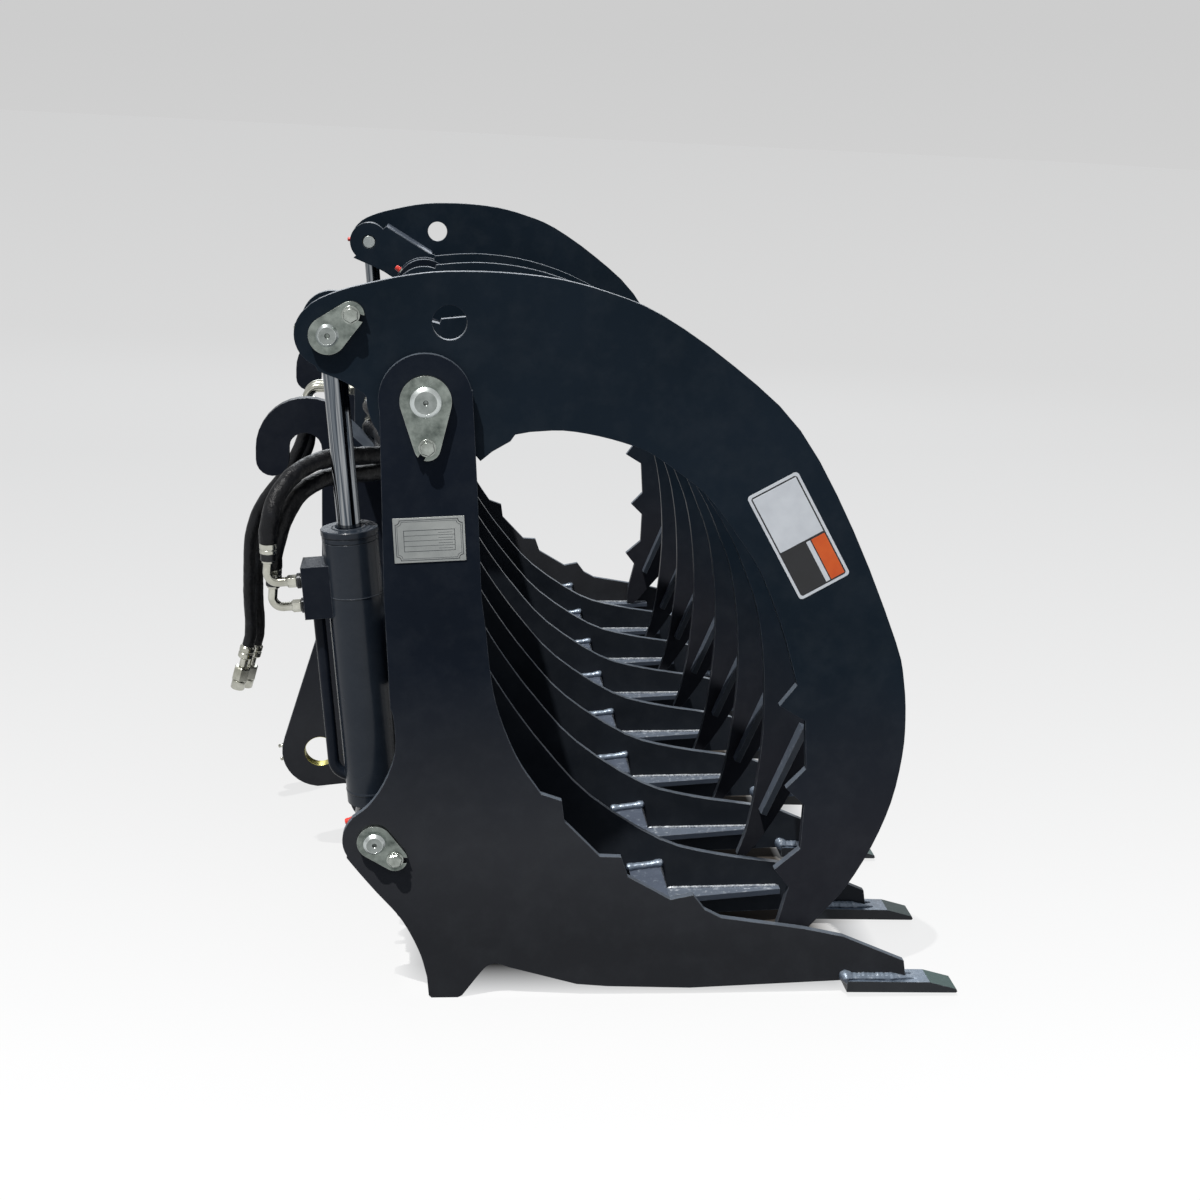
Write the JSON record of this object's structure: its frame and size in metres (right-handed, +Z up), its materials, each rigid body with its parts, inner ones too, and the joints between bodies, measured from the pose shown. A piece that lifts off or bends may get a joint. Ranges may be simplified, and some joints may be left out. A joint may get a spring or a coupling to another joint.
{
  "type": "hay grapple",
  "caption": "Tined silage and hay grapple: a flat-tined lower fork with two curved hydraulic clamps that swing down over it, on a loader coupler.",
  "frame": {"origin": "middle of the tool's box on the ground, without the loose supply hoses", "axes": "+X forward to the tine tips, +Y to the tool's left side, +Z up"},
  "size_m": [1.1135, 1.846, 1.0137],
  "materials": {
    "paint": "satin",
    "zinc": "satin",
    "chrome": "polished",
    "bronze": "satin",
    "plated": "bright",
    "hose": "matte",
    "plate": "satin"
  },
  "bodies": {
    "frame": {"right_side_plate": "paint", "left_side_plate": "paint", "lower_tine_1": "paint", "lower_tine_2": "paint", "lower_tine_3": "paint", "lower_tine_4": "paint", "lower_tine_5": "paint", "lower_tine_6": "paint", "lower_tine_7": "paint", "upper_rear_tube": "paint", "lower_rear_tube": "paint", "cross_bar": "paint", "tine_ledges": "paint", "tine_tips": "paint", "pivot_supports": "paint", "right_coupler_plate": "paint", "left_coupler_plate": "paint", "coupler_cross_tube": "paint", "coupler_braces": "paint", "cylinder_base_lugs": "paint", "pivot_pins": "zinc", "support_bushes": "bronze", "base_pins": "zinc", "frame_keeper_plates": "zinc", "frame_keeper_bolts": "zinc", "data_plate": "plate", "manifold": "paint", "manifold_fittings": "plated", "supply_hoses": "hose", "supply_fittings": "plated", "right_cylinder_hoses": "hose", "left_cylinder_hoses": "hose"},
    "right_clamp": {"right_clamp_plate": "paint", "right_clamp_tine_1": "paint", "right_clamp_tine_2": "paint", "right_clamp_tine_3": "paint", "right_clamp_lever": "paint", "right_clamp_ribs": "paint", "right_clamp_pivot_tubes": "paint", "right_clamp_bush": "bronze", "right_rod_pin": "zinc"},
    "right_barrel": {"right_cylinder_barrel": "paint", "right_cylinder_gland": "paint", "right_cylinder_pipework": "paint", "right_cylinder_elbows": "plated"},
    "right_rod": {"right_cylinder_rod": "chrome"},
    "left_clamp": {"left_clamp_plate": "paint", "left_clamp_tine_1": "paint", "left_clamp_tine_2": "paint", "left_clamp_tine_3": "paint", "left_clamp_lever": "paint", "left_clamp_ribs": "paint", "left_clamp_pivot_tubes": "paint", "left_clamp_bush": "bronze", "left_rod_pin": "zinc"},
    "left_barrel": {"left_cylinder_barrel": "paint", "left_cylinder_gland": "paint", "left_cylinder_pipework": "paint", "left_cylinder_elbows": "plated"},
    "left_rod": {"left_cylinder_rod": "chrome"}
  },
  "joints": [
    {"name": "right_clamp_hinge", "type": "hinge", "parent": "frame", "child": "right_clamp", "pos_m": [-0.264, -0.883, 0.851], "axis": [0, -1, 0], "range_deg": [0, 50]},
    {"name": "right_cylinder_hinge", "type": "hinge", "parent": "frame", "child": "right_barrel", "pos_m": [-0.323, -0.817, 0.243], "axis": [0, -1, 0], "range_deg": [0, 3.5], "deforming": ["right_cylinder_hoses"]},
    {"name": "right_rod_slide", "type": "slide", "parent": "right_barrel", "child": "right_rod", "axis": [-0.0945, 0, 0.9955], "range_m": [-0.118, 0]},
    {"name": "left_clamp_hinge", "type": "hinge", "parent": "frame", "child": "left_clamp", "pos_m": [-0.264, 0.883, 0.851], "axis": [0, -1, 0], "range_deg": [0, 50]},
    {"name": "left_cylinder_hinge", "type": "hinge", "parent": "frame", "child": "left_barrel", "pos_m": [-0.323, 0.817, 0.243], "axis": [0, -1, 0], "range_deg": [0, 3.5], "deforming": ["left_cylinder_hoses"]},
    {"name": "left_rod_slide", "type": "slide", "parent": "left_barrel", "child": "left_rod", "axis": [-0.0945, 0, 0.9955], "range_m": [-0.118, 0]}
  ],
  "couplings": [
    {"joint": "right_cylinder_hinge", "follows": "right_clamp_hinge", "ratio": 0.068},
    {"joint": "right_rod_slide", "follows": "right_clamp_hinge", "m_per_rad": -0.134},
    {"joint": "left_cylinder_hinge", "follows": "left_clamp_hinge", "ratio": 0.068},
    {"joint": "left_rod_slide", "follows": "left_clamp_hinge", "m_per_rad": -0.134}
  ]
}
